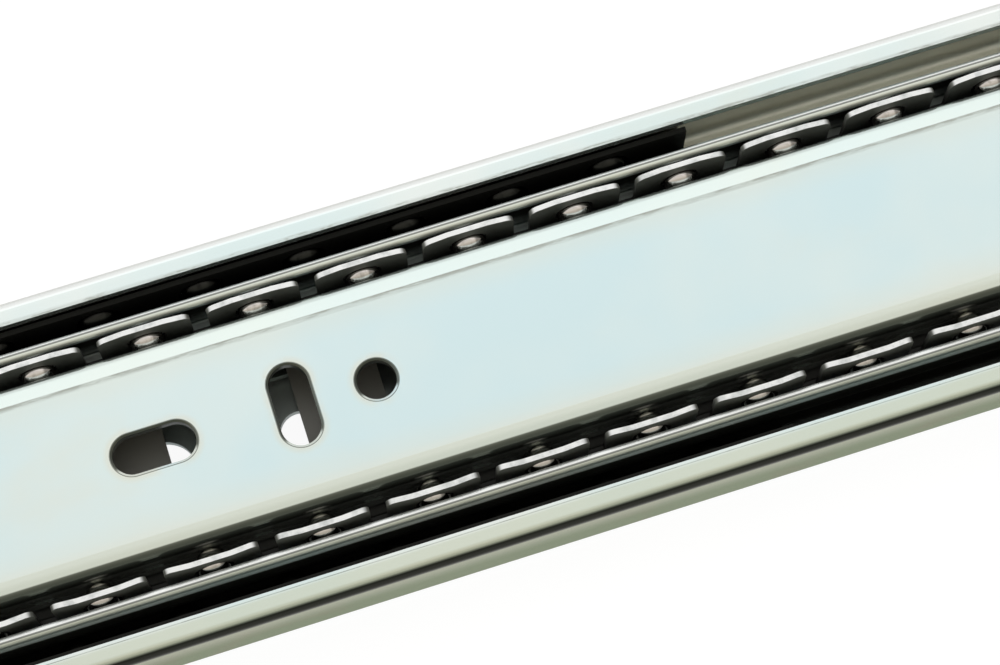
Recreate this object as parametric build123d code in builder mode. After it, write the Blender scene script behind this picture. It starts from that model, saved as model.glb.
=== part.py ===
from build123d import *

import os
from math import atan2, cos, degrees, radians, sin, sqrt, tan

# A full-extension drawer slide for the side of a drawer: three rolled steel members that run in each
# other on two caged rows of balls each, with a release lever, end stops and a catch that holds it shut.
# X runs along the slide and the drawer opens towards +X. Y runs across the slide. Z points from the
# cabinet side panel, at z = 0, to the drawer, and the origin is the middle of the cabinet face.

os.makedirs("parts", exist_ok=True)

# Driving sizes of the whole slide
slide_length = 400.0
slide_width = 45.0
slide_thickness = 12.7
rail_sheet = 1.2
cage_sheet = 0.6
running_gap = 0.3  # between faces that pass each other
ball_clearance = 0.05  # between a ball and the grooves that it rolls in
travel_loss = 5.0  # what each pair of members opens less than half of the slide's length

# Cabinet member: a channel with lips that turn inwards
cabinet_lip_reach = 3.0
cabinet_web_corner = 2.2
cabinet_lip_bend = 0.1  # inner radius of the bends from its sides to its lips
cabinet_raceway_depth = 0.18

# Balls and their rows
outer_ball_diameter = 4.76
outer_ball_pitch = 12.5
outer_ball_count = 7
inner_ball_diameter = 4.0
inner_ball_depth = 4.3  # from the drawer side's face to the middles of the inner balls
inner_ball_pitch = 13.0
inner_ball_count = 11
ball_sides = 8
ball_bands = 3
ball_top_latitude = 77.0

# Intermediate member: an S-shaped flange on each side of a web
intermediate_rear_gap = 9.0
intermediate_front_gap = 1.0
groove_angle = 25.0  # of the line through an inner and an outer ball, from the slide's width
intermediate_corner_angle = 30.0
intermediate_lip_angle = 36.0
intermediate_lip_bend = 0.4
intermediate_setback = 1.6  # of its lips, from the drawer side's face
intermediate_lip_flat = 0.2  # left between the roundings along each lip

# Drawer member: a channel that opens towards the cabinet
drawer_groove_reach = 1.8  # from the drawer member's side to the middles of its balls
drawer_facet_inset = 2.4  # from its sides to where its web starts to slope down to them
drawer_facet_angle = 12.0
drawer_inner_bend = 0.1
drawer_flange_depth = 7.5
hole_rollover = 0.25  # how far the edges of the punched holes are drawn in
hole_rollover_depth = 0.15

# Holes, along X from the middle of the slide
hole_grid = 32.0
drawer_hole_steps = [-3, 0, 6]  # of the grid, from the middle group of holes
cabinet_screw_steps = [-4, 0, 6]
cabinet_access_steps = [0, 6]
cabinet_upright_slot_step = 6.5
cabinet_long_slot_step = -3
drawer_slot_x = -67.5
drawer_slot_length = 9.7
drawer_hole_diameter = 4.6
upright_slot_step = 16.5
round_hole_step = 26.2
cabinet_access_diameter = 7.5
cabinet_screw_diameter = 5.0
cabinet_slot_length = 8.0
window_length = 34.0
window_width = 13.0

# Ball cages
inner_cage_middle = -26.0
outer_cage_front = 2.5
outer_cage_tail = 7.0
outer_cage_headroom = 0.4
cage_edge_height = 1.9
cage_bend = 1.2
tooth_gap = 2.0
tooth_corner = 1.0
tooth_bow = 0.27
ball_hole_slack = 0.3  # between a ball and the hole in its cage
tooth_seat_margin = 0.4
ball_hole_sides = 16
cage_window_corner = 1.5
inner_window_length = 15.8
inner_window_width = 19.0
outer_window_length = 24.0
outer_window_width = 26.0
outer_window_middle = -45.0
outer_window_pitch = 30.0
outer_window_count = 3

# Small lugs, half sheared from the webs, that stop the cages
cage_stop_length = 2.0
cage_stop_width = 3.0
cage_stop_height = 0.6
cage_stop_spacing = 18.0
cage_stop_margin = 2.5

# Front stop, release lever, end bumper and catch
stop_plate_length = 8.5
stop_plate_width = 19.0
stop_tab_height = 5.7
stop_tab_edge = -0.8
stop_setback = 4.3
stop_corner = 1.0
cushion_thickness = 1.5
lever_plate = 3.2
lever_nose_length = 4.7
lever_nose_tip = 1.6
lever_nose_reach = 3.4
lever_pivot_x = 41.0
lever_pivot_y = 3.9
lever_boss_radius = 4.0
lever_arm_width = 5.0
lever_paddle_length = 25.0
lever_paddle_width = 8.0
lever_thumb_length = 5.0
lever_depth = 5.4
lever_corner = 0.8
lever_swing = 4.5
guide_step = 14.0
guide_drop = 1.0
spring_root = 6.0
spring_length = 32.0
spring_straight = 8.0  # of that, beside the lever
spring_thickness = 0.9
spring_height = 2.0
spring_bend = 12.0
rivet_shank = 2.6
rivet_head = 4.8
rivet_crown = 3.2
rivet_head_height = 0.7
rivet_sides = 16
rivet_float = 0.1  # between a rivet's head and the lever that moves under it
pin_slack = 0.04  # between a pin and the hole that it stands in
bumper_width = 14.0
bumper_length = 6.5
bumper_height = 1.3
bumper_nose = 0.9
bumper_drop = 1.9
bumper_rivet_y = 4.4
stop_rivet_y = 5.5
catch_setback = 0.5
catch_length = 7.2
catch_width = 18.0
catch_plate = 1.8
catch_rivet_inset = 2.5
catch_rivet_setback = 0.6
catch_stud_diameter = 3.2
catch_stud_x_step = 4.8  # from the rear end of the slide
catch_arm = 1.5
catch_arm_height = 7.2
stud_chamfer = 0.4
catch_grip = 0.15  # how far each arm's tip stands into the stud's way

# Places that follow from those sizes
cabinet_lip_corner = rail_sheet + cabinet_lip_bend
intermediate_lip_round = (rail_sheet - intermediate_lip_flat) / 2
half_length = slide_length / 2
half_width = slide_width / 2
travel = half_length - travel_loss
drawer_web = slide_thickness - rail_sheet
cabinet_height = drawer_web
outer_cage_z = rail_sheet + running_gap
intermediate_z = outer_cage_z + cage_sheet + running_gap
intermediate_web = intermediate_z + rail_sheet
intermediate_height = slide_thickness - intermediate_setback
inner_cage_z = intermediate_web + running_gap

# The two ball grooves of the intermediate flange meet as one smooth S
inner_groove = inner_ball_diameter / 2 + ball_clearance
outer_groove = outer_ball_diameter / 2 + ball_clearance
intermediate_bulge = inner_groove + rail_sheet
outer_ball_y = half_width - rail_sheet + cabinet_raceway_depth - outer_groove
inner_ball_y = outer_ball_y - (outer_groove + intermediate_bulge) * cos(radians(groove_angle))
inner_ball_z = slide_thickness - inner_ball_depth
outer_ball_z = inner_ball_z - (outer_groove + intermediate_bulge) * sin(radians(groove_angle))
corner_sine = sin(radians(intermediate_corner_angle))
intermediate_web_corner = (outer_ball_z - intermediate_z - outer_groove * corner_sine) / (1 + corner_sine)
corner_y = outer_ball_y - (outer_groove + intermediate_web_corner) * cos(radians(intermediate_corner_angle))
drawer_half_width = inner_ball_y - drawer_groove_reach
drawer_groove_half = sqrt(inner_groove**2 - drawer_groove_reach**2)
drawer_bend = rail_sheet + drawer_inner_bend
drawer_facet_width = drawer_facet_inset - drawer_bend * (1 - sin(radians(drawer_facet_angle)))
drawer_facet_drop = drawer_facet_width * tan(radians(drawer_facet_angle))

# Members and cages along the slide, shut
intermediate_rear = -half_length + intermediate_rear_gap
intermediate_front = half_length - intermediate_front_gap
outer_cage_length = outer_ball_count * outer_ball_pitch + outer_cage_tail
outer_cage_middle = outer_cage_front - outer_cage_length / 2
outer_cage_rear = outer_cage_front - outer_cage_length
inner_cage_length = inner_ball_count * inner_ball_pitch - tooth_gap
inner_cage_rear = inner_cage_middle - inner_cage_length / 2
inner_cage_front = inner_cage_middle + inner_cage_length / 2
outer_cage_stops = [outer_cage_rear - cage_stop_margin, outer_cage_front + travel / 2 + cage_stop_margin]
inner_cage_stops = [inner_cage_rear - cage_stop_margin, inner_cage_front + travel / 2 + cage_stop_margin]

# Holes along the slide, on steps of one grid
upright_slot_x = drawer_slot_x + upright_slot_step
round_hole_x = drawer_slot_x + round_hole_step
window_x = (drawer_slot_x + upright_slot_x) / 2
hole_stations = [hole_grid * step for step in drawer_hole_steps]
cabinet_screws = [(upright_slot_x + hole_grid * step, 0) for step in cabinet_screw_steps]
cabinet_access_holes = [(drawer_slot_x + hole_grid * step, 0) for step in cabinet_access_steps]
cabinet_upright_slots = [(upright_slot_x + hole_grid * cabinet_upright_slot_step, 0)]
cabinet_long_slots = [(upright_slot_x + hole_grid * cabinet_long_slot_step, 0)]

# Stop, lever, bumper and catch
rivet_hole = rivet_shank + 2 * pin_slack
stop_tab_x = intermediate_front - stop_setback
stop_cushion_x = stop_tab_x - rail_sheet
stop_rivet_x = stop_tab_x - stop_plate_length + rivet_head / 2 + running_gap
stop_rivets = [(stop_rivet_x, -stop_rivet_y), (stop_rivet_x, stop_rivet_y)]
bumper_rivet_x = intermediate_rear + bumper_length / 2
bumper_rivets = [(bumper_rivet_x, -bumper_rivet_y), (bumper_rivet_x, bumper_rivet_y)]
lever_tip_x = stop_cushion_x - cushion_thickness - running_gap - travel
lever_end_x = lever_pivot_x + lever_paddle_length
lever_z = drawer_web - running_gap - lever_plate
lever_low_y = lever_pivot_y - lever_boss_radius + running_gap
lever_high_y = lever_low_y + lever_arm_width
guide_x = lever_pivot_x + guide_step
guide_y = lever_pivot_y - guide_drop
guide_travel = guide_step * sin(radians(lever_swing))
spring_tip_y = inner_ball_y - inner_groove - rail_sheet - running_gap - spring_thickness
catch_x = -half_length + catch_setback + catch_length / 2
catch_stud_x = -half_length + catch_stud_x_step
catch_rivet_y = catch_width / 2 - catch_rivet_inset
catch_rivet_x = catch_x - catch_rivet_setback
catch_rivets = [(catch_rivet_x, -catch_rivet_y), (catch_rivet_x, catch_rivet_y)]
catch_pocket = catch_stud_diameter / 2 + catch_grip
catch_mouth_x = catch_x + catch_length / 2


def along(middle, pitch, count):
    """X of a row of equal steps about a middle."""
    return [middle + pitch * (k - (count - 1) / 2) for k in range(count)]


def cut_round_holes(positions, diameter, z):
    """Round holes through a web whose outer face is at z."""
    with BuildSketch(Plane.XY.offset(z)) as holes:
        with Locations(*positions):
            Circle(diameter / 2)
    extrude(holes.sketch, amount=rail_sheet, mode=Mode.SUBTRACT)


def cut_slots(positions, length, width, turn, z):
    """Slots through a web whose outer face is at z, turned by an angle from the slide's length."""
    with BuildSketch(Plane.XY.offset(z)) as slots:
        with Locations(*positions):
            SlotOverall(length, width, rotation=turn)
    extrude(slots.sketch, amount=rail_sheet, mode=Mode.SUBTRACT)


def press_cage_stops(x_positions, z):
    """Half-sheared lugs that stand up from a web at z and leave a dent in its other face."""
    places = [(x, side * cage_stop_spacing / 2) for x in x_positions for side in (-1, 1)]
    with BuildSketch(Plane.XY.offset(z)) as dents:
        with Locations(*places):
            Rectangle(cage_stop_length, cage_stop_width)
    with BuildSketch(Plane.XY.offset(z + rail_sheet)) as lugs:
        add(dents.sketch_local)
    extrude(lugs.sketch, amount=cage_stop_height)
    extrude(dents.sketch, amount=cage_stop_height, mode=Mode.SUBTRACT)


def rivets(positions, seat, tip):
    """Rivets with tapered heads on the outer side of z = seat and shanks that end flush at z = tip."""
    taper = degrees(atan2(rivet_head / 2 - rivet_crown / 2, rivet_head_height))
    with BuildPart() as row:
        with BuildSketch(Plane.XY) as heads:
            with Locations(*positions):
                RegularPolygon(rivet_head / 2, rivet_sides)
        extrude(heads.sketch, amount=rivet_head_height, taper=taper)
        with BuildSketch(Plane.XY) as shanks:
            with Locations(*positions):
                RegularPolygon(rivet_shank / 2, rivet_sides)
        extrude(shanks.sketch, amount=-abs(seat - tip))
    upright = row.part if seat > tip else mirror(row.part, about=Plane.XY)
    return Pos(0, 0, seat) * upright


def export(part, name):
    part.label = name
    export_step(part, f"parts/{name}.step")


def steel_ball(diameter):
    """A ball drawn with flat facets, so that long rows of balls stay light."""
    radius = diameter / 2
    latitudes = [radians(ball_top_latitude * k / ball_bands) for k in range(ball_bands + 1)]
    with BuildPart() as ball:
        for low, high in zip(latitudes, latitudes[1:]):
            with BuildSketch(Plane.XY.offset(radius * sin(low))):
                RegularPolygon(radius * cos(low), ball_sides, major_radius=False, rotation=180 / ball_sides)
            slope = degrees(atan2(cos(low) - cos(high), sin(high) - sin(low)))
            extrude(amount=radius * (sin(high) - sin(low)), taper=slope)
        mirror(about=Plane.XY)
    return ball.part


def ball_row(name, diameter, x_positions, y, z):
    """One row of loose balls, as separate solids in one piece."""
    ball = steel_ball(diameter)
    with BuildPart() as row:
        with Locations(*[(x, y, z) for x in x_positions]):
            add(ball)
    export(row.part, name)


def bowed_teeth(ball_xs, base_z, top_z, inside_y, seat):
    """Both rows of a cage's teeth, each bowed outwards round its ball and rounded at its corners."""
    pitch = ball_xs[1] - ball_xs[0]
    with BuildPart() as teeth:
        with BuildSketch(Plane.XY.offset(base_z + cage_bend)):
            for x in ball_xs:
                with BuildLine():
                    Polyline(
                        (x - pitch / 2, inside_y),
                        (x - seat, inside_y + tooth_bow),
                        (x + seat, inside_y + tooth_bow),
                        (x + pitch / 2, inside_y),
                    )
                    offset(amount=cage_sheet, kind=Kind.INTERSECTION, side=Side.LEFT)
                make_face()
            mirror(about=Plane.XZ)
        extrude(amount=top_z - base_z - cage_bend)
        with BuildSketch(Plane.XZ):
            with Locations(*[(x, (base_z + top_z) / 2) for x in ball_xs]):
                RectangleRounded(pitch - tooth_gap, top_z - base_z, tooth_corner)
        extrude(amount=inside_y + 2 * cage_sheet, both=True, mode=Mode.INTERSECT)
    return teeth.part


def ball_cage(name, ends, heights, toothed, strip_y, ball_diameter, ball_xs, ball_z, window_xs, window):
    """A strip cage: a flat web with windows, and holed sides that are plain or cut into bowed teeth."""
    rear, front = ends
    base_z, top_z = heights
    inside_y = strip_y - cage_sheet / 2
    outside_y = strip_y + cage_sheet / 2
    plain_z = base_z + cage_edge_height if toothed else top_z
    with BuildPart() as cage:
        with BuildSketch(Plane.YZ.offset(rear)):
            with BuildLine():
                FilletPolyline(
                    (-outside_y, plain_z),
                    (-outside_y, base_z),
                    (outside_y, base_z),
                    (outside_y, plain_z),
                    radius=cage_bend,
                )
                offset(amount=cage_sheet, side=Side.LEFT)
            make_face()
        extrude(amount=front - rear)
        if toothed:
            add(bowed_teeth(ball_xs, base_z, top_z, inside_y, ball_diameter / 2 + tooth_seat_margin))
        with BuildSketch(Plane.XY.offset(base_z)):
            with Locations(*[(x, 0) for x in window_xs]):
                RectangleRounded(*window, cage_window_corner)
        extrude(amount=cage_sheet, mode=Mode.SUBTRACT)
        with BuildSketch(Plane.XZ):
            with Locations(*[(x, ball_z) for x in ball_xs]):
                RegularPolygon(ball_diameter / 2 + ball_hole_slack, ball_hole_sides, major_radius=False)
        extrude(amount=outside_y + cage_sheet, both=True, mode=Mode.SUBTRACT)
    export(cage.part, name)


# Cabinet member
with BuildPart() as cabinet_member:
    with BuildSketch(Plane.YZ.offset(-half_length)):
        with BuildLine():
            FilletPolyline(
                (-half_width + cabinet_lip_reach, cabinet_height),
                (-half_width, cabinet_height),
                (-half_width, 0),
                (half_width, 0),
                (half_width, cabinet_height),
                (half_width - cabinet_lip_reach, cabinet_height),
                radius=[cabinet_lip_corner, cabinet_web_corner, cabinet_web_corner, cabinet_lip_corner],
            )
            offset(amount=rail_sheet, side=Side.LEFT)
        make_face()
        with Locations((-outer_ball_y, outer_ball_z), (outer_ball_y, outer_ball_z)):
            Circle(outer_groove, mode=Mode.SUBTRACT)
    extrude(amount=slide_length)
    cut_round_holes(cabinet_screws, cabinet_screw_diameter, 0)
    cut_round_holes(cabinet_access_holes, cabinet_access_diameter, 0)
    cut_slots(cabinet_upright_slots, cabinet_slot_length, cabinet_screw_diameter, 90, 0)
    cut_slots(cabinet_long_slots, cabinet_slot_length, cabinet_screw_diameter, 0, 0)
    cut_round_holes(catch_rivets, rivet_hole, 0)
    press_cage_stops(outer_cage_stops, 0)
export(cabinet_member.part, "cabinet_member")

# Intermediate member
with BuildPart() as intermediate_member:
    with BuildSketch(Plane.YZ.offset(intermediate_rear)):
        with BuildLine():
            web = Line((0, intermediate_z), (corner_y, intermediate_z))
            corner = JernArc(web @ 1, web % 1, intermediate_web_corner, 90 + intermediate_corner_angle)
            outer_turn = groove_angle + intermediate_corner_angle
            outer_race = JernArc(corner @ 1, corner % 1, outer_groove, -outer_turn)
            inner_turn = groove_angle + intermediate_lip_angle
            inner_race = JernArc(outer_race @ 1, outer_race % 1, intermediate_bulge, inner_turn)
            lip_bend = JernArc(inner_race @ 1, inner_race % 1, intermediate_lip_bend, -intermediate_lip_angle)
            Line(lip_bend @ 1, ((lip_bend @ 1).X, intermediate_height))
            mirror(about=Plane.YZ)
            offset(amount=rail_sheet, side=Side.LEFT)
        make_face()
    extrude(amount=intermediate_front - intermediate_rear)
    lip_edges = edges().filter_by(Axis.X).group_by(Axis.Z)[-1]
    fillet(lip_edges, intermediate_lip_round)
    windows = [(window_x + step, 0) for step in hole_stations]
    cut_slots(windows, window_length, window_width, 0, intermediate_z)
    cut_round_holes(stop_rivets + bumper_rivets, rivet_hole, intermediate_z)
    press_cage_stops(inner_cage_stops, intermediate_z)
export(intermediate_member.part, "intermediate_member")

# Drawer member
with BuildPart() as drawer_member:
    with BuildSketch(Plane.YZ.offset(-half_length)):
        with BuildLine():
            facet_y = drawer_half_width - drawer_facet_inset
            top = Line((0, slide_thickness), (facet_y, slide_thickness))
            facet = Line(top @ 1, (facet_y + drawer_facet_width, slide_thickness - drawer_facet_drop))
            bend = JernArc(facet @ 1, facet % 1, drawer_bend, drawer_facet_angle - 90)
            upper = Line(bend @ 1, (drawer_half_width, inner_ball_z + drawer_groove_half))
            race = ThreePointArc(
                upper @ 1,
                (inner_ball_y - inner_groove, inner_ball_z),
                (drawer_half_width, inner_ball_z - drawer_groove_half),
            )
            Line(race @ 1, (drawer_half_width, slide_thickness - drawer_flange_depth))
            mirror(about=Plane.YZ)
            offset(amount=rail_sheet, side=Side.RIGHT)
        make_face()
    extrude(amount=slide_length)
    long_slots = [(drawer_slot_x + step, 0) for step in hole_stations]
    upright_slots = [(upright_slot_x + step, 0) for step in hole_stations]
    round_holes = [(round_hole_x + step, 0) for step in hole_stations]
    cut_slots(long_slots, drawer_slot_length, drawer_hole_diameter, 0, drawer_web)
    cut_slots(upright_slots, drawer_slot_length, drawer_hole_diameter, 90, drawer_web)
    cut_round_holes(round_holes, drawer_hole_diameter, drawer_web)
    web_face = faces().sort_by(Axis.Z)[-1]
    chamfer(web_face.inner_wires().edges(), hole_rollover, hole_rollover_depth, reference=web_face)
    cut_round_holes([(lever_pivot_x, lever_pivot_y), (guide_x, guide_y)], rivet_hole, drawer_web)
    cut_round_holes([(catch_stud_x, 0)], catch_stud_diameter + 2 * pin_slack, drawer_web)
export(drawer_member.part, "drawer_member")

# Ball cages and their balls
outer_ball_xs = along(outer_cage_middle, outer_ball_pitch, outer_ball_count)
inner_ball_xs = along(inner_cage_middle, inner_ball_pitch, inner_ball_count)
ball_cage(
    "outer_cage",
    (outer_cage_rear, outer_cage_front),
    (outer_cage_z, cabinet_height - rail_sheet - outer_cage_headroom),
    False,
    outer_ball_y,
    outer_ball_diameter,
    outer_ball_xs,
    outer_ball_z,
    along(outer_window_middle, outer_window_pitch, outer_window_count),
    (outer_window_length, outer_window_width),
)
ball_cage(
    "inner_cage",
    (inner_cage_rear, inner_cage_front),
    (inner_cage_z, slide_thickness - running_gap),
    True,
    inner_ball_y,
    inner_ball_diameter,
    inner_ball_xs,
    inner_ball_z,
    [x + inner_ball_pitch / 2 for x in inner_ball_xs[:-1:2]],
    (inner_window_length, inner_window_width),
)
for side, row in ((1, "upper"), (-1, "lower")):
    ball_row(f"outer_balls_{row}", outer_ball_diameter, outer_ball_xs, side * outer_ball_y, outer_ball_z)
    ball_row(f"inner_balls_{row}", inner_ball_diameter, inner_ball_xs, side * inner_ball_y, inner_ball_z)

# Front stop: a bracket on the intermediate web, with a rubber cushion where the lever's nose meets it
with BuildPart() as front_stop:
    with BuildSketch(Plane.XY.offset(intermediate_web)):
        with Locations((stop_tab_x, 0)):
            Rectangle(stop_plate_length, stop_plate_width, align=(Align.MAX, Align.CENTER))
        fillet(vertices().group_by(Axis.X)[0], stop_corner)
        with Locations(*stop_rivets):
            Circle(rivet_hole / 2, mode=Mode.SUBTRACT)
    extrude(amount=rail_sheet)
    with BuildSketch(Plane.YZ.offset(stop_tab_x)):
        with Locations((-stop_plate_width / 2, intermediate_web)):
            Rectangle(stop_plate_width / 2 + stop_tab_edge, rail_sheet + stop_tab_height, align=Align.MIN)
        fillet(vertices().group_by(Axis.Y)[-1], stop_corner)
    extrude(amount=-rail_sheet)
export(front_stop.part, "front_stop")

with BuildPart() as stop_cushion:
    with BuildSketch(Plane.YZ.offset(stop_cushion_x)):
        with Locations((-stop_plate_width / 2, intermediate_web + rail_sheet)):
            Rectangle(stop_plate_width / 2 + stop_tab_edge, stop_tab_height, align=Align.MIN)
        fillet(vertices().group_by(Axis.Y)[-1], stop_corner)
    extrude(amount=-cushion_thickness)
export(stop_cushion.part, "stop_cushion")

# Rear bumper: a rubber pad on the intermediate web that meets the catch when the slide is pushed home
with BuildPart() as rear_bumper:
    with BuildSketch(Plane.XY.offset(intermediate_web)):
        with Locations((intermediate_rear - bumper_nose, 0)):
            Rectangle(bumper_nose + bumper_length, bumper_width, align=(Align.MIN, Align.CENTER))
        fillet(vertices().group_by(Axis.X)[-1], stop_corner)
        with Locations(*bumper_rivets):
            Circle(rivet_hole / 2, mode=Mode.SUBTRACT)
    extrude(amount=bumper_height)
    with BuildSketch(Plane.YZ.offset(intermediate_rear)):
        with Locations((0, intermediate_web)):
            Rectangle(bumper_width, bumper_drop, align=(Align.CENTER, Align.MAX))
        fillet(vertices().group_by(Axis.Y)[0], stop_corner / 2)
    extrude(amount=-bumper_nose)
export(rear_bumper.part, "rear_bumper")

# Release lever: it hooks behind the front stop and swings clear of it when its paddle is pushed aside
with BuildPart() as release_lever:
    with BuildSketch(Plane.XY.offset(lever_z)):
        with BuildLine():
            Polyline(
                (lever_tip_x - lever_nose_length, lever_low_y),
                (lever_tip_x - lever_nose_length, lever_high_y),
                (lever_pivot_x, lever_high_y),
                (lever_end_x, lever_low_y + lever_paddle_width),
                (lever_end_x, lever_low_y),
                close=True,
            )
        make_face()
        fillet(vertices().group_by(Axis.X)[-1], lever_corner)
        with Locations((lever_pivot_x, lever_pivot_y)):
            Circle(lever_boss_radius)
    extrude(amount=lever_plate)
    with BuildSketch(Plane.XY.offset(drawer_web - running_gap)):
        with BuildLine():
            Polyline(
                (lever_tip_x, lever_high_y),
                (lever_tip_x, -lever_nose_reach),
                (lever_tip_x - lever_nose_tip, -lever_nose_reach),
                (lever_tip_x - lever_nose_length, lever_low_y),
                (lever_tip_x - lever_nose_length, lever_high_y),
                close=True,
            )
        make_face()
        with Locations((lever_end_x, lever_low_y)):
            Rectangle(lever_thumb_length, lever_paddle_width, align=(Align.MAX, Align.MIN))
        fillet(vertices().group_by(Axis.X)[-1], lever_corner)
    extrude(amount=-lever_depth)
    with BuildSketch(Plane.XY.offset(lever_z)):
        with Locations((lever_pivot_x, lever_pivot_y)):
            Circle(rivet_hole / 2)
        with Locations((guide_x, guide_y + guide_travel / 2)):
            SlotOverall(rivet_hole + guide_travel + running_gap, rivet_hole + 2 * pin_slack, rotation=90)
    extrude(amount=lever_plate, mode=Mode.SUBTRACT)
export(release_lever.part, "release_lever")

with BuildPart() as lever_spring_arm:
    with BuildSketch(Plane.XY.offset(lever_z + (lever_plate - spring_height) / 2)):
        with BuildLine():
            root_x = lever_pivot_x - spring_root
            FilletPolyline(
                (root_x, lever_high_y),
                (root_x - spring_straight, lever_high_y),
                (root_x - spring_length, spring_tip_y),
                radius=spring_bend,
            )
            offset(amount=spring_thickness, side=Side.RIGHT)
        make_face()
    extrude(amount=spring_height)
export(lever_spring_arm.part, "lever_spring_arm")

# Closing catch: a nylon fork that the drawer member's stud snaps into
with BuildPart() as closing_catch:
    with BuildSketch(Plane.XY.offset(rail_sheet)):
        with Locations((catch_x, 0)):
            RectangleRounded(catch_length, catch_width, stop_corner)
        with Locations(*catch_rivets):
            Circle(rivet_hole / 2, mode=Mode.SUBTRACT)
    extrude(amount=catch_plate)
    with BuildSketch(Plane.XY.offset(rail_sheet + catch_plate)):
        with Locations((catch_stud_x, 0)):
            Circle(catch_pocket + catch_arm)
            Rectangle(
                catch_mouth_x - catch_stud_x,
                2 * (catch_pocket + catch_arm),
                align=(Align.MIN, Align.CENTER),
            )
            Circle(catch_pocket, mode=Mode.SUBTRACT)
            Rectangle(
                catch_length,
                catch_stud_diameter - 2 * catch_grip,
                align=(Align.MIN, Align.CENTER),
                mode=Mode.SUBTRACT,
            )
    extrude(amount=catch_arm_height)
export(closing_catch.part, "closing_catch")

with BuildPart() as catch_stud:
    with BuildSketch(Plane.XY.offset(slide_thickness)):
        with Locations((catch_stud_x, 0)):
            Circle(catch_stud_diameter / 2)
    extrude(amount=-drawer_flange_depth)
    chamfer(edges().group_by(Axis.Z)[0], stud_chamfer)
export(catch_stud.part, "catch_stud")

# Rivets
lever_rivet_seat = lever_z - rivet_float
export(rivets([(lever_pivot_x, lever_pivot_y)], lever_rivet_seat, slide_thickness), "lever_pivot_rivet")
export(rivets([(guide_x, guide_y)], lever_rivet_seat, slide_thickness), "lever_guide_rivet")
export(rivets(catch_rivets, rail_sheet + catch_plate, 0), "closing_catch_rivets")
export(rivets(stop_rivets, intermediate_web + rail_sheet, intermediate_z), "front_stop_rivets")
export(rivets(bumper_rivets, intermediate_web + bumper_height, intermediate_z), "rear_bumper_rivets")
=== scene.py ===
from math import cos, pi, radians, sin

import bmesh
import bpy
from mathutils import Matrix, Vector


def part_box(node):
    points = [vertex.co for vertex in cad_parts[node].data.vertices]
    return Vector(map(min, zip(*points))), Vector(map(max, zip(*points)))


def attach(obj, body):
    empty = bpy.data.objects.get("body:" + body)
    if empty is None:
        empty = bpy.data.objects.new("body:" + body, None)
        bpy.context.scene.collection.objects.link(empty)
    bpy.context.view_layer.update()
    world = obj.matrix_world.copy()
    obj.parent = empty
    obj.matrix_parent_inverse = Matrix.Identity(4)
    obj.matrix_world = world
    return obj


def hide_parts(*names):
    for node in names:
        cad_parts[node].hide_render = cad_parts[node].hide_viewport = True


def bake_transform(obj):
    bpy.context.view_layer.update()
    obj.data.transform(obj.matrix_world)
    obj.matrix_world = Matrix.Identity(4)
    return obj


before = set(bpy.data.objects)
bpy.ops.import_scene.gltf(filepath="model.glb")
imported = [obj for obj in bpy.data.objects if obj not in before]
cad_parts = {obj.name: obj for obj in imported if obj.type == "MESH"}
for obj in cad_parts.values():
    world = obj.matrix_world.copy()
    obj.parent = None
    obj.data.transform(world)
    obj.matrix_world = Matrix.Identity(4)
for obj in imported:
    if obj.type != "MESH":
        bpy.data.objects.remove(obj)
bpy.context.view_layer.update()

MM = 0.001
FLOOR_RADIUS = 4.0


class Amount:
    """A number that changes over a surface. Arithmetic on it adds Math nodes."""

    def __init__(self, finish, socket):
        self.finish = finish
        self.socket = socket

    def _math(self, operation, *terms):
        node = self.finish.node("ShaderNodeMath", {"operation": operation}, dict(enumerate(terms)))
        return Amount(self.finish, node.outputs[0])

    def __add__(self, other):
        return self._math("ADD", self, other)

    def __radd__(self, other):
        return self._math("ADD", other, self)

    def __sub__(self, other):
        return self._math("SUBTRACT", self, other)

    def __rsub__(self, other):
        return self._math("SUBTRACT", other, self)

    def __mul__(self, other):
        return self._math("MULTIPLY", self, other)

    def __rmul__(self, other):
        return self._math("MULTIPLY", other, self)

    def __truediv__(self, other):
        return self._math("DIVIDE", self, other)

    def __pow__(self, other):
        return self._math("POWER", self, other)

    def __abs__(self):
        return self._math("ABSOLUTE", self)

    def at_most(self, other):
        return self._math("MINIMUM", self, other)

    def at_least(self, other):
        return self._math("MAXIMUM", self, other)

    def rise(self, low, high):
        """0 below low and 1 above high, with a smooth step between. It falls where high is the lower."""
        node = self.finish.node(
            "ShaderNodeMapRange",
            {"interpolation_type": "SMOOTHSTEP"},
            {"Value": self, "From Min": low, "From Max": high, "To Min": 0.0, "To Max": 1.0},
        )
        return Amount(self.finish, node.outputs[0])


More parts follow.
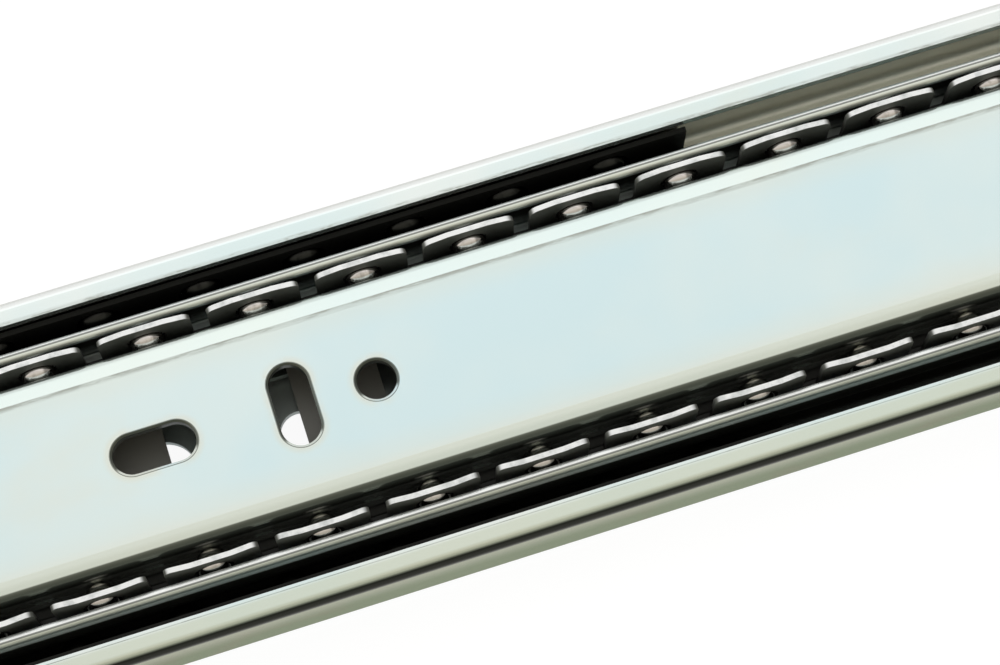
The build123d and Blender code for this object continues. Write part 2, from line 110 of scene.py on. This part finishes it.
class Finish:
    """A material, or the world's light, built from nodes."""

    def __init__(self, owner):
        self.owner = owner
        owner.use_nodes = True
        self.tree = owner.node_tree
        self.tree.nodes.clear()

    @classmethod
    def named(cls, name):
        return cls(bpy.data.materials.new(name))

    def node(self, kind, settings=None, sockets=None):
        made = self.tree.nodes.new(kind)
        for name, value in (settings or {}).items():
            setattr(made, name, value)
        for name, value in (sockets or {}).items():
            if isinstance(value, Amount):
                value = value.socket
            if isinstance(value, bpy.types.NodeSocket):
                self.tree.links.new(value, made.inputs[name])
            else:
                made.inputs[name].default_value = value
        return made

    def axes(self, vector):
        """X, Y and Z of a vector."""
        parts = self.node("ShaderNodeSeparateXYZ", None, {0: vector})
        return [Amount(self, parts.outputs[k]) for k in range(3)]

    def place(self):
        """The place on the piece, in metres."""
        return self.node("ShaderNodeTexCoord").outputs["Object"]

    def millimetres(self, where):
        """X, Y and Z of a place on the piece, in millimetres."""
        return [axis / MM for axis in self.axes(where)]

    def stretched(self, where, scale):
        node = self.node(
            "ShaderNodeMapping",
            {"vector_type": "POINT"},
            {"Vector": where, "Scale": scale},
        )
        return node.outputs[0]

    def noise(self, where, size, detail=2.0, roughness=0.5):
        """Cloudy noise from 0 to 1 whose lumps are about size across, in metres."""
        node = self.node(
            "ShaderNodeTexNoise",
            {"noise_dimensions": "3D"},
            {"Vector": where, "Scale": 1 / size, "Detail": detail, "Roughness": roughness},
        )
        return Amount(self, node.outputs[0])

    def mix(self, first, second, amount):
        """A colour between the first, at amount 0, and the second, at amount 1."""
        node = self.node(
            "ShaderNodeMix",
            {"data_type": "RGBA"},
            {"Factor": amount, 6: first, 7: second},
        )
        return node.outputs[2]

    def bump(self, height, distance, strength=1.0):
        node = self.node(
            "ShaderNodeBump",
            None,
            {"Height": height, "Distance": distance, "Strength": strength},
        )
        return node.outputs[0]

    def done(self, **sockets):
        named = {name.replace("_", " "): value for name, value in sockets.items()}
        shader = self.node("ShaderNodeBsdfPrincipled", None, named)
        self.node("ShaderNodeOutputMaterial", None, {"Surface": shader.outputs[0]})
        return self.owner


def rgb(red, green, blue):
    return (red, green, blue, 1.0)


def grey(value):
    return rgb(value, value, value)


# Finishes

CAGE_FRONT = 2.5
ZINC_BLUE = rgb(0.64, 0.79, 0.81)
ZINC_PALE = rgb(0.70, 0.81, 0.80)
ZINC_CREAM = rgb(0.74, 0.755, 0.66)
ZINC_NEUTRAL = rgb(0.80, 0.845, 0.81)
# Scuff marks and painted shade: used on rounded edges and on the far crease
ZINC_SCUFF_AND_SHADE = rgb(0.36, 0.38, 0.34)
# Painted shade, mid dark: lip lines, undersides and hole walls
ZINC_PAINTED_HALF_SHADE = rgb(0.16, 0.165, 0.15)
ZINC_SHADE = rgb(0.05, 0.055, 0.04)
# Painted shade, nearly black, for the fold line and the shadowed insides of the channels
ZINC_PAINTED_DEEP_SHADE = rgb(0.035, 0.036, 0.03)
ZINC_BROWN_PAINTED_LIGHT = rgb(0.92, 0.90, 0.81)
ZINC_OLIVE = rgb(0.66, 0.68, 0.55)
ZINC_SHADED_GREEN = rgb(0.28, 0.36, 0.19)
ZINC_RUSSET = rgb(0.38, 0.30, 0.20)
ZINC_LIP_GREEN = rgb(0.60, 0.64, 0.52)
ZINC_BEND_HIGHLIGHT = rgb(0.88, 0.90, 0.88)
ZINC_LIP_HIGHLIGHT = rgb(0.95, 0.97, 0.95)
ZINC_FACET_HIGHLIGHT = rgb(0.84, 0.94, 0.92)
ZINC_HALO = rgb(0.74, 0.68, 0.53)
STRIP_RUBBED = rgb(0.62, 0.64, 0.63)
STRIP_BRIGHT = rgb(0.86, 0.87, 0.86)
RIVET_CLEAN = rgb(0.66, 0.69, 0.70)
RIVET_WORN = rgb(0.48, 0.48, 0.44)

# Where the painted shade lines run, as Y in millimetres
FOLD = -22.27
CABINET_LIP_LINE = -19.88
INTERMEDIATE_LIP_LINE = 15.97


def zinc_plate(name, tint=None, base=(ZINC_BLUE, ZINC_PALE), roughness=0.2):
    """Bright zinc with cream clouds and faint rolling lines, and then the tints and painted light and shade
    of its own piece.
    """
    finish = Finish.named(name)
    where = finish.place()
    clouds = finish.noise(where, 28 * MM, 3.0, 0.55)
    colour = finish.mix(base[0], base[1], clouds.rise(0.35, 0.65))
    cream = finish.noise(finish.stretched(where, (1.0, 1.6, 1.6)), 30 * MM, 4.0, 0.6).rise(0.52, 0.78)
    colour = finish.mix(colour, ZINC_CREAM, cream * 0.45)
    dull = 0.0
    if tint is not None:
        colour, dull = tint(finish, colour, *finish.millimetres(where), where)
    lines = finish.noise(finish.stretched(where, (0.02, 1.0, 1.0)), 0.35 * MM, 2.0, 0.6)
    rough = roughness + 0.04 * lines + 0.05 * clouds + 0.25 * dull
    height = 0.6 * lines + 0.4 * finish.noise(where, 1.2 * MM, 2.0, 0.5)
    return finish.done(
        Base_Color=colour,
        Metallic=0.92,
        Roughness=rough,
        Normal=finish.bump(height, 0.003 * MM),
    )


def scratchy(finish, where, low=0.4, high=0.62):
    """Broken streaks along the slide."""
    return finish.noise(finish.stretched(where, (0.12, 1.0, 1.0)), 0.5 * MM, 3.0, 0.7).rise(low, high)


def band(value, middle, half_width, soft=0.12):
    """1 on a stripe and 0 beside it."""
    return abs(value - middle).rise(half_width + soft, half_width)


def facing(finish):
    """X, Y and Z of the way that the surface faces."""
    return finish.axes(finish.node("ShaderNodeNewGeometry").outputs["Normal"])


def cabinet_tints(finish, colour, x, y, z, where):
    """Scuff streaks with painted shade on the far lip's inner edge, a painted shade line on the near lip,
    green walls darker towards the bottom with painted shade and a shaded fold on the lower one, a painted
    highlight on the far bend, painted light on the channel's side walls, and painted shade inside the
    channel where the cage runs and along the near side.
    """
    below = y.rise(1.0, -1.0)
    wall = abs(y).rise(22.0, 22.35) * below.at_least(z.rise(10.4, 9.8))
    patches = finish.noise(where, 14 * MM, 3.0, 0.6).rise(0.5, 0.7)
    green = finish.mix(ZINC_SHADED_GREEN, ZINC_RUSSET, patches * 0.5)
    # Green zinc walls with russet patches, darker green low down as painted shade
    colour = finish.mix(colour, finish.mix(green, ZINC_OLIVE, z.rise(5.0, 10.6)), wall)
    colour = finish.mix(colour, ZINC_LIP_GREEN, y.rise(-19.6, -20.3) * z.rise(11.0, 11.3) * 0.75)
    fold = band(y, FOLD, 0.2, 0.3) * z.rise(9.6, 10.2)
    colour = finish.mix(colour, ZINC_PAINTED_DEEP_SHADE, fold)
    top = z.rise(11.2, 11.45)
    streaks = scratchy(finish, where, 0.48, 0.6)
    # The far lip's inner edge: scuff streaks over a steady painted shade of its rounded edge
    edge = abs(y).rise(20.1, 19.7) * (1.0 - below)
    colour = finish.mix(colour, ZINC_SCUFF_AND_SHADE, edge * top * (0.4 + 0.6 * streaks) * 0.8)
    line = band(y, CABINET_LIP_LINE, 0.02, 0.06) * (0.6 + 0.4 * streaks)
    colour = finish.mix(colour, ZINC_SHADE, line * top * 0.5)
    # Painted highlight on the far bend
    colour = finish.mix(colour, ZINC_BEND_HIGHLIGHT, y.rise(21.15, 21.7) * z.rise(10.0, 10.4))
    inside = z.rise(0.9, 1.15) * z.rise(9.6, 9.4) * abs(y).rise(21.75, 21.6)
    caged = x.rise(CAGE_FRONT + 0.3, CAGE_FRONT - 0.1)
    # Painted light: pale brown on the channel's side walls
    colour = finish.mix(colour, ZINC_BROWN_PAINTED_LIGHT, inside * abs(y).rise(18.0, 19.0))
    # Painted shade inside the channel: strongest at the raceways where the cage runs and all along the near
    # side
    race = abs(y).rise(14.0, 16.0) * caged.at_least(below) * 0.9
    grease = inside * race.at_least(abs(y).rise(17.6, 16.6) * 0.45)
    return finish.mix(colour, ZINC_PAINTED_DEEP_SHADE, grease), inside


def intermediate_tints(finish, colour, x, y, z, where):
    """A painted highlight and painted shade on the top of each lip with a painted shade line along it, and
    dark painted shade in the grooves and on the web.
    """
    lip = z.rise(10.7, 10.9)
    outer_half = abs(y).rise(15.9, 16.05)
    shaded = outer_half * y.rise(0.5, -0.5) + (1.0 - outer_half) * y.rise(-0.5, 0.5)
    # Painted highlight on the half of each lip top that faces the far side, painted shade in cream on the
    # other half
    colour = finish.mix(colour, ZINC_LIP_HIGHLIGHT, (1.0 - shaded) * lip)
    colour = finish.mix(colour, ZINC_CREAM, shaded * lip * 0.8)
    # Painted shade line along the rounded top of each lip
    line = band(abs(y), INTERMEDIATE_LIP_LINE, 0.07, 0.08) * lip
    colour = finish.mix(colour, ZINC_PAINTED_HALF_SHADE, line * 0.85)
    # Dark painted shade in the grooves and on the web, left off the far groove ahead of the cage
    outside = abs(y).rise(15.9, 16.3)
    far_end_unshaded = x.rise(CAGE_FRONT, CAGE_FRONT + 1.0) * y.rise(0.0, 1.0)
    outer_painted_shade = outside * z.rise(10.1, 9.9) * (1.0 - far_end_unshaded)
    inner_painted_shade = (1.0 - outside) * z.rise(10.6, 10.2) * (0.45 + 0.5 * z.rise(6.6, 7.4))
    return finish.mix(colour, ZINC_PAINTED_DEEP_SHADE, outer_painted_shade.at_least(inner_painted_shade)), abs(y).rise(12.5, 13.5)


HOLE_STATIONS = (-96.0, 0.0, 192.0)
HOLES = ((-67.5, 2.55, 0.0), (-51.0, 0.0, 2.55), (-41.3, 0.0, 0.0))
HOLE_RADIUS = 2.3
ROLLOVER = 0.25


def drawer_tints(finish, colour, x, y, z, where):
    """Painted reflection towards the near bend, a painted highlight on the near facet, painted shade on the
    near bend, a painted shade line with scratches at the far crease, a painted shade outline and a brown
    halo at each punched hole, and painted shade on the underside and in the holes.
    """
    from_hole = None
    for station in HOLE_STATIONS:
        for middle, half_x, half_y in HOLES:
            along = (abs(x - (station + middle)) - half_x).at_least(0.0)
            across = (abs(y) - half_y).at_least(0.0)
            distance = (along**2 + across**2) ** 0.5 - HOLE_RADIUS
            from_hole = distance if from_hole is None else from_hole.at_most(distance)
    top = z.rise(12.2, 12.4)
    # Painted reflection: cream towards the near bend
    colour = finish.mix(colour, ZINC_CREAM, y.rise(-8.5, -9.7) * 0.35)
    # Painted highlight on the near facet
    facet = y.rise(-9.64, -9.72) * y.rise(-10.8, -10.0) * top
    colour = finish.mix(colour, ZINC_FACET_HIGHLIGHT, facet)
    sides = abs(y).rise(5.5, 9.6)
    colour = finish.mix(colour, ZINC_CREAM, sides * 0.4)
    colour = finish.mix(colour, ZINC_SHADE, y.rise(-11.0, -11.2) * z.rise(10.4, 10.7) * 0.85)
    brown = finish.noise(where, 5 * MM, 3.0, 0.6).rise(0.3, 0.6)
    halo = from_hole.rise(1.3, 0.3) * top
    colour = finish.mix(colour, ZINC_HALO, halo * brown * 0.45)
    # A dark line where the far bend starts: painted shade, broken by scratches
    crease = y.rise(8.9, 9.6) * y.rise(9.76, 9.66) * (0.4 + 0.6 * scratchy(finish, where, 0.35, 0.6))
    colour = finish.mix(colour, ZINC_SCUFF_AND_SHADE, crease * top * 0.9)
    outline = band(from_hole, ROLLOVER + 0.04, 0.03, 0.05) * 0.7
    drawn_in = from_hole.rise(ROLLOVER + 0.02, ROLLOVER - 0.02) * facing(finish)[1].rise(0.36, 0.2)
    colour = finish.mix(colour, ZINC_SHADE, outline.at_least(drawn_in * 0.9) * top)
    # Painted shade on the drawer member's underside and on the walls of its holes
    inside = z.rise(11.75, 11.55) * abs(y).rise(11.6, 11.2)
    punched = from_hole.rise(0.04, 0.0) * z.rise(12.5, 12.4)
    return finish.mix(colour, ZINC_PAINTED_HALF_SHADE, inside.at_least(punched) * 0.8), 0.0


def blackened(name, low, high, web, specular, edge_from=None):
    """Matt blackened strip, paler high up and on the web as painted light and darker low down as painted
    shade, with bright bare edges where it was punched after the blackening, brightened only where they face
    up as a painted highlight.
    """
    finish = Finish.named(name)
    where = finish.place()
    y, z = finish.millimetres(where)[1:]
    rub = finish.noise(where, 1.5 * MM, 3.0, 0.6)
    # Painted light and shade: paler high up, darker low in the channel, and paler on the web
    colour = finish.mix(low, high, z.rise(6.0, 12.0) * (0.6 + 0.6 * rub))
    colour = finish.mix(colour, web, abs(y).rise(10.0, 8.0))
    metal = 0.2
    if edge_from is not None:
        # Bare metal on the punched edges, brightened only where they face up: painted highlight
        edge = facing(finish)[2].rise(0.6, 0.95) * z.rise(edge_from, edge_from + 0.3)
        bright = finish.mix(STRIP_RUBBED, STRIP_BRIGHT, rub.rise(0.3, 0.6))
        colour = finish.mix(colour, bright, edge * rub.rise(0.1, 0.35))
        metal = 0.2 + 0.7 * edge
    return finish.done(
        Base_Color=colour,
        Metallic=metal,
        Roughness=0.36 + 0.12 * rub,
        Specular_IOR_Level=specular,
        Normal=finish.bump(finish.noise(where, 0.4 * MM, 2.0, 0.5), 0.003 * MM),
    )


def polished_balls(name, light, dark, roughness):
    """Bright ball steel under a thin film of grease."""
    finish = Finish.named(name)
    where = finish.place()
    film = finish.noise(where, 0.9 * MM, 3.0, 0.6)
    return finish.done(
        Base_Color=finish.mix(light, dark, film.rise(0.45, 0.75)),
        Metallic=1.0,
        Roughness=roughness + 0.06 * film,
    )


def rivet_steel(name):
    finish = Finish.named(name)
    where = finish.place()
    marks = finish.noise(where, 0.5 * MM, 3.0, 0.6)
    colour = finish.mix(RIVET_CLEAN, RIVET_WORN, marks.rise(0.45, 0.7))
    return finish.done(
        Base_Color=colour,
        Metallic=1.0,
        Roughness=0.26 + 0.15 * marks,
        Normal=finish.bump(marks, 0.006 * MM),
    )


def moulded(name, light, dark, roughness, grain):
    """A moulded plastic or rubber with a fine grained skin."""
    finish = Finish.named(name)
    where = finish.place()
    clouds = finish.noise(where, 6 * MM, 3.0, 0.55)
    skin = finish.noise(where, grain, 2.0, 0.6)
    return finish.done(
        Base_Color=finish.mix(dark, light, clouds),
        Roughness=roughness + 0.1 * skin,
        Normal=finish.bump(skin, 0.02 * MM, 0.5),
    )


zinc = zinc_plate("zinc_plate")
finishes = {
    "cabinet_member": zinc_plate("zinc_plate_cabinet", cabinet_tints, (ZINC_NEUTRAL, ZINC_PALE)),
    "intermediate_member": zinc_plate(
        "zinc_plate_intermediate", intermediate_tints, (ZINC_NEUTRAL, ZINC_PALE)
    ),
    "drawer_member": zinc_plate("zinc_plate_drawer", drawer_tints),
    "front_stop": zinc,
    # A black strip, its near-black partly painted shade of the channel
    "outer_cage": blackened(
        "black_strip_in_painted_shade",
        low=rgb(0.012, 0.012, 0.011),
        high=rgb(0.02, 0.02, 0.018),
        web=rgb(0.02, 0.02, 0.018),
        specular=0.05,
    ),
    "inner_cage": blackened(
        "blackened_strip",
        low=rgb(0.02, 0.02, 0.018),
        high=rgb(0.17, 0.175, 0.16),
        web=rgb(0.30, 0.295, 0.27),
        specular=0.3,
        edge_from=11.2,
    ),
    "catch_stud": rivet_steel("stud_steel"),
    "release_lever": moulded(
        "black_nylon",
        light=rgb(0.035, 0.035, 0.037),
        dark=rgb(0.02, 0.02, 0.021),
        roughness=0.42,
        grain=0.3 * MM,
    ),
    "closing_catch": moulded(
        "white_nylon",
        light=rgb(0.80, 0.80, 0.75),
        dark=rgb(0.72, 0.72, 0.67),
        roughness=0.4,
        grain=0.4 * MM,
    ),
    "stop_cushion": moulded(
        "black_rubber",
        light=grey(0.045),
        dark=grey(0.03),
        roughness=0.65,
        grain=0.25 * MM,
    ),
}
finishes["rear_bumper"] = finishes["stop_cushion"]
ball_finishes = {
    "inner": polished_balls(
        "polished_ball_steel",
        light=rgb(0.68, 0.64, 0.62),
        dark=rgb(0.50, 0.47, 0.45),
        roughness=0.04,
    ),
    # Painted shade: the outer balls are made nearly black
    "outer": polished_balls(
        "ball_steel_in_painted_shade",
        light=rgb(0.03, 0.03, 0.027),
        dark=rgb(0.015, 0.015, 0.014),
        roughness=0.2,
    ),
}
rivet_finish = rivet_steel("rivet_steel")


# Pressed, moulded and rolled parts keep their made shape: they get their finish and smooth, crisp shading

SPLIT_ANGLE = 28.0
SPLIT_ANGLES = {"drawer_member": 10.5}  # the facets of the drawer member are shallower
MOULDED = {
    "release_lever": 0.25 * MM,
    "closing_catch": 0.2 * MM,
    "stop_cushion": 0.2 * MM,
    "rear_bumper": 0.25 * MM,
}


def weld(piece):
    piece.data.shade_smooth()
    modifier = piece.modifiers.new("weld", "WELD")
    modifier.merge_threshold = 0.001 * MM


def split_and_weigh(piece, angle=SPLIT_ANGLE):
    split = piece.modifiers.new("creases", "EDGE_SPLIT")
    split.split_angle = radians(angle)
    piece.modifiers.new("flat_faces", "WEIGHTED_NORMAL").weight = 80


for node, finish in finishes.items():
    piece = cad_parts[node]
    piece.data.materials.clear()
    piece.data.materials.append(finish)
    weld(piece)
    if node in MOULDED:
        flats = piece.modifiers.new("flats", "DECIMATE")
        flats.decimate_type = "DISSOLVE"
        flats.angle_limit = radians(2)
        edges = piece.modifiers.new("edges", "BEVEL")
        edges.width = MOULDED[node]
        edges.segments = 2
        edges.limit_method = "ANGLE"
        edges.angle_limit = radians(35)
    split_and_weigh(piece, SPLIT_ANGLES.get(node, SPLIT_ANGLE))


def new_piece(name, mesh, finish, slot, *nodes):
    """Turns a bmesh into a finished piece that stands for its plainer nodes."""
    bmesh.ops.recalc_face_normals(mesh, faces=mesh.faces)
    data = bpy.data.meshes.new(name)
    mesh.to_mesh(data)
    mesh.free()
    data.shade_smooth()
    data.materials.append(finish)
    piece = bpy.data.objects.new(name, data)
    bpy.context.scene.collection.objects.link(piece)
    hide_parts(*nodes)
    return piece


# Balls

BALL_ROWS = {
    "outer_balls_upper": ("outer_cage_body", 7),
    "outer_balls_lower": ("outer_cage_body", 7),
    "inner_balls_upper": ("inner_cage_body", 11),
    "inner_balls_lower": ("inner_cage_body", 11),
}

for node, (body, count) in BALL_ROWS.items():
    low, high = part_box(node)
    diameter = high.y - low.y
    middle = (low + high) / 2
    pitch = (high.x - low.x - diameter) / (count - 1)
    row = bmesh.new()
    for k in range(count):
        place = Matrix.Translation((low.x + diameter / 2 + k * pitch, middle.y, middle.z))
        bmesh.ops.create_uvsphere(row, u_segments=40, v_segments=24, radius=diameter / 2, matrix=place)
    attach(new_piece(f"{node}_polished", row, ball_finishes[node[:5]], "ball_steel", node), body)


# Rivets

RIVETS = {
    "closing_catch_rivets": ("cabinet", 2, 1),
    "front_stop_rivets": ("intermediate", 2, 1),
    "rear_bumper_rivets": ("intermediate", 2, 1),
    "lever_pivot_rivet": ("drawer", 1, -1),
    "lever_guide_rivet": ("drawer", 1, -1),
}
HEAD_RADIUS = 2.4 * MM
HEAD_HEIGHT = 0.7 * MM
SHANK_RADIUS = 1.3 * MM

for node, (body, count, head_side) in RIVETS.items():
    low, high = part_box(node)
    head_top, flush = (high.z, low.z) if head_side > 0 else (low.z, high.z)
    brim = head_top - head_side * HEAD_HEIGHT
    turns = [k * pi / 12 for k in range(7)]
    dome = [(HEAD_RADIUS * sin(a), brim + head_side * HEAD_HEIGHT * cos(a)) for a in turns]
    profile = dome + [(SHANK_RADIUS, brim), (SHANK_RADIUS, flush), (0.0, flush)]
    ys = [(low.y + high.y) / 2] if count == 1 else [low.y + HEAD_RADIUS, high.y - HEAD_RADIUS]
    rivets = bmesh.new()
    for y in ys:
        centre = Vector(((low.x + high.x) / 2, y, 0))
        points = [rivets.verts.new(centre + Vector((r, 0, z))) for r, z in profile]
        wires = [rivets.edges.new(pair) for pair in zip(points, points[1:])]
        bmesh.ops.spin(
            rivets,
            geom=points + wires,
            cent=centre,
            axis=(0, 0, 1),
            angle=2 * pi,
            steps=40,
            use_merge=True,
        )
    bmesh.ops.remove_doubles(rivets, verts=rivets.verts, dist=0.001 * MM)
    domed = new_piece(f"{node}_domed", rivets, rivet_finish, "rivet_steel", node)
    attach(domed, body)
    split_and_weigh(domed)


# The lever's spring arm, whose root turns with the lever while its tip leans on the drawer member, given
# even cuts across its length

ARM_STEPS = 24

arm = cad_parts["lever_spring_arm"]
low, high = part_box("lever_spring_arm")
flexing = bmesh.new()
flexing.from_mesh(arm.data)
flexing.transform(arm.matrix_world)
bmesh.ops.remove_doubles(flexing, verts=flexing.verts, dist=0.001 * MM)
for k in range(1, ARM_STEPS):
    bmesh.ops.bisect_plane(
        flexing,
        geom=flexing.verts[:] + flexing.edges[:] + flexing.faces[:],
        plane_co=(low.x + (high.x - low.x) * k / ARM_STEPS, 0, 0),
        plane_no=(1, 0, 0),
    )
spring = new_piece(
    "lever_spring_arm_flexing", flexing, finishes["release_lever"], "black_nylon", "lever_spring_arm"
)
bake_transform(spring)
split_and_weigh(spring)


# Floor

floor_mesh = bmesh.new()
bmesh.ops.create_circle(floor_mesh, cap_ends=True, segments=96, radius=FLOOR_RADIUS)
floor_data = bpy.data.meshes.new("floor")
floor_mesh.to_mesh(floor_data)
floor_mesh.free()
floor = bpy.data.objects.new("floor", floor_data)
bpy.context.scene.collection.objects.link(floor)
paper = Finish.named("white_paper")
ray = paper.node("ShaderNodeLightPath")
direct, through, glossy = [
    Amount(paper, ray.outputs[f"Is {kind} Ray"]) for kind in ("Camera", "Transmission", "Glossy")
]
seen = direct.at_least(through).at_least(glossy * 0.3)
sheet = paper.node("ShaderNodeBsdfDiffuse", None, {"Color": grey(0.82)})
glow = paper.node("ShaderNodeEmission", None, {"Color": grey(1.0), "Strength": 1.1})
both = paper.node("ShaderNodeMixShader", None, {"Fac": seen * 0.85, 1: sheet.outputs[0], 2: glow.outputs[0]})
paper.node("ShaderNodeOutputMaterial", None, {"Surface": both.outputs[0]})
floor_data.materials.append(paper.owner)


# Light: a bright room overhead and behind the slide, dimmer towards the near side

world = bpy.data.worlds.new("studio")
bpy.context.scene.world = world
sky = Finish(world)
direction = sky.node("ShaderNodeTexCoord").outputs["Generated"]
along, depth, up = sky.axes(direction)
turn = sky.node("ShaderNodeMath", {"operation": "ARCTAN2"}, {0: up, 1: depth})
share = Amount(sky, turn.outputs[0]) / pi
end = along.rise(0.62, 0.86)
ramp = sky.node("ShaderNodeValToRGB", None, {"Fac": share})
ramp.color_ramp.interpolation = "EASE"
# From the far horizon, at 0, over the top of the room, at 0.5, to the near horizon, at 1
STOPS = (
    (0.0, grey(0.92)),
    (0.20, grey(0.94)),
    (0.24, grey(1.00)),
    (0.27, grey(1.26)),
    (0.31, grey(1.17)),
    (0.37, grey(0.98)),
    (0.41, grey(0.88)),
    (0.50, rgb(0.86, 0.85, 0.81)),
    (0.58, rgb(0.84, 0.81, 0.73)),
    (0.66, rgb(0.60, 0.58, 0.50)),
    (0.75, rgb(0.40, 0.40, 0.34)),
    (0.86, rgb(0.36, 0.37, 0.32)),
    (1.0, rgb(0.60, 0.62, 0.56)),
)
while len(ramp.color_ramp.elements) < len(STOPS):
    ramp.color_ramp.elements.new(0.5)
for element, (position, colour) in zip(ramp.color_ramp.elements, STOPS):
    element.position = position
    element.color = colour
background = sky.node("ShaderNodeBackground", None, {"Color": ramp.outputs[0], "Strength": 1.0 - 0.6 * end})
sky.node("ShaderNodeOutputWorld", None, {"Surface": background.outputs[0]})

SOFTBOX_PLACE = Vector((0.3, 0.7, 1.5))
softbox = bpy.data.lights.new("softbox", "AREA")
softbox.shape = "RECTANGLE"
softbox.size = 2.4
softbox.size_y = 1.6
softbox.energy = 1.5
softbox_object = bpy.data.objects.new("softbox", softbox)
softbox_object.location = SOFTBOX_PLACE
softbox_object.rotation_euler = SOFTBOX_PLACE.to_track_quat("Z", "Y").to_euler()
bpy.context.scene.collection.objects.link(softbox_object)


# Camera

AIM = Vector((-26.27, 1.0, 12.7)) * MM
AZIMUTH = radians(-17.85)
ELEVATION = radians(72.76)
DISTANCE = 319.2 * MM
back = Vector((sin(AZIMUTH) * cos(ELEVATION), -cos(AZIMUTH) * cos(ELEVATION), sin(ELEVATION)))
camera = bpy.data.cameras.new("camera")
camera.lens = 100.8
camera.sensor_width = 36.0
camera.clip_start = 0.01
camera.clip_end = 20.0
camera_object = bpy.data.objects.new("camera", camera)
camera_object.location = AIM + back * DISTANCE
camera_object.rotation_euler = back.to_track_quat("Z", "Y").to_euler()
bpy.context.scene.collection.objects.link(camera_object)
bpy.context.scene.camera = camera_object
bpy.context.scene.view_settings.view_transform = "Standard"
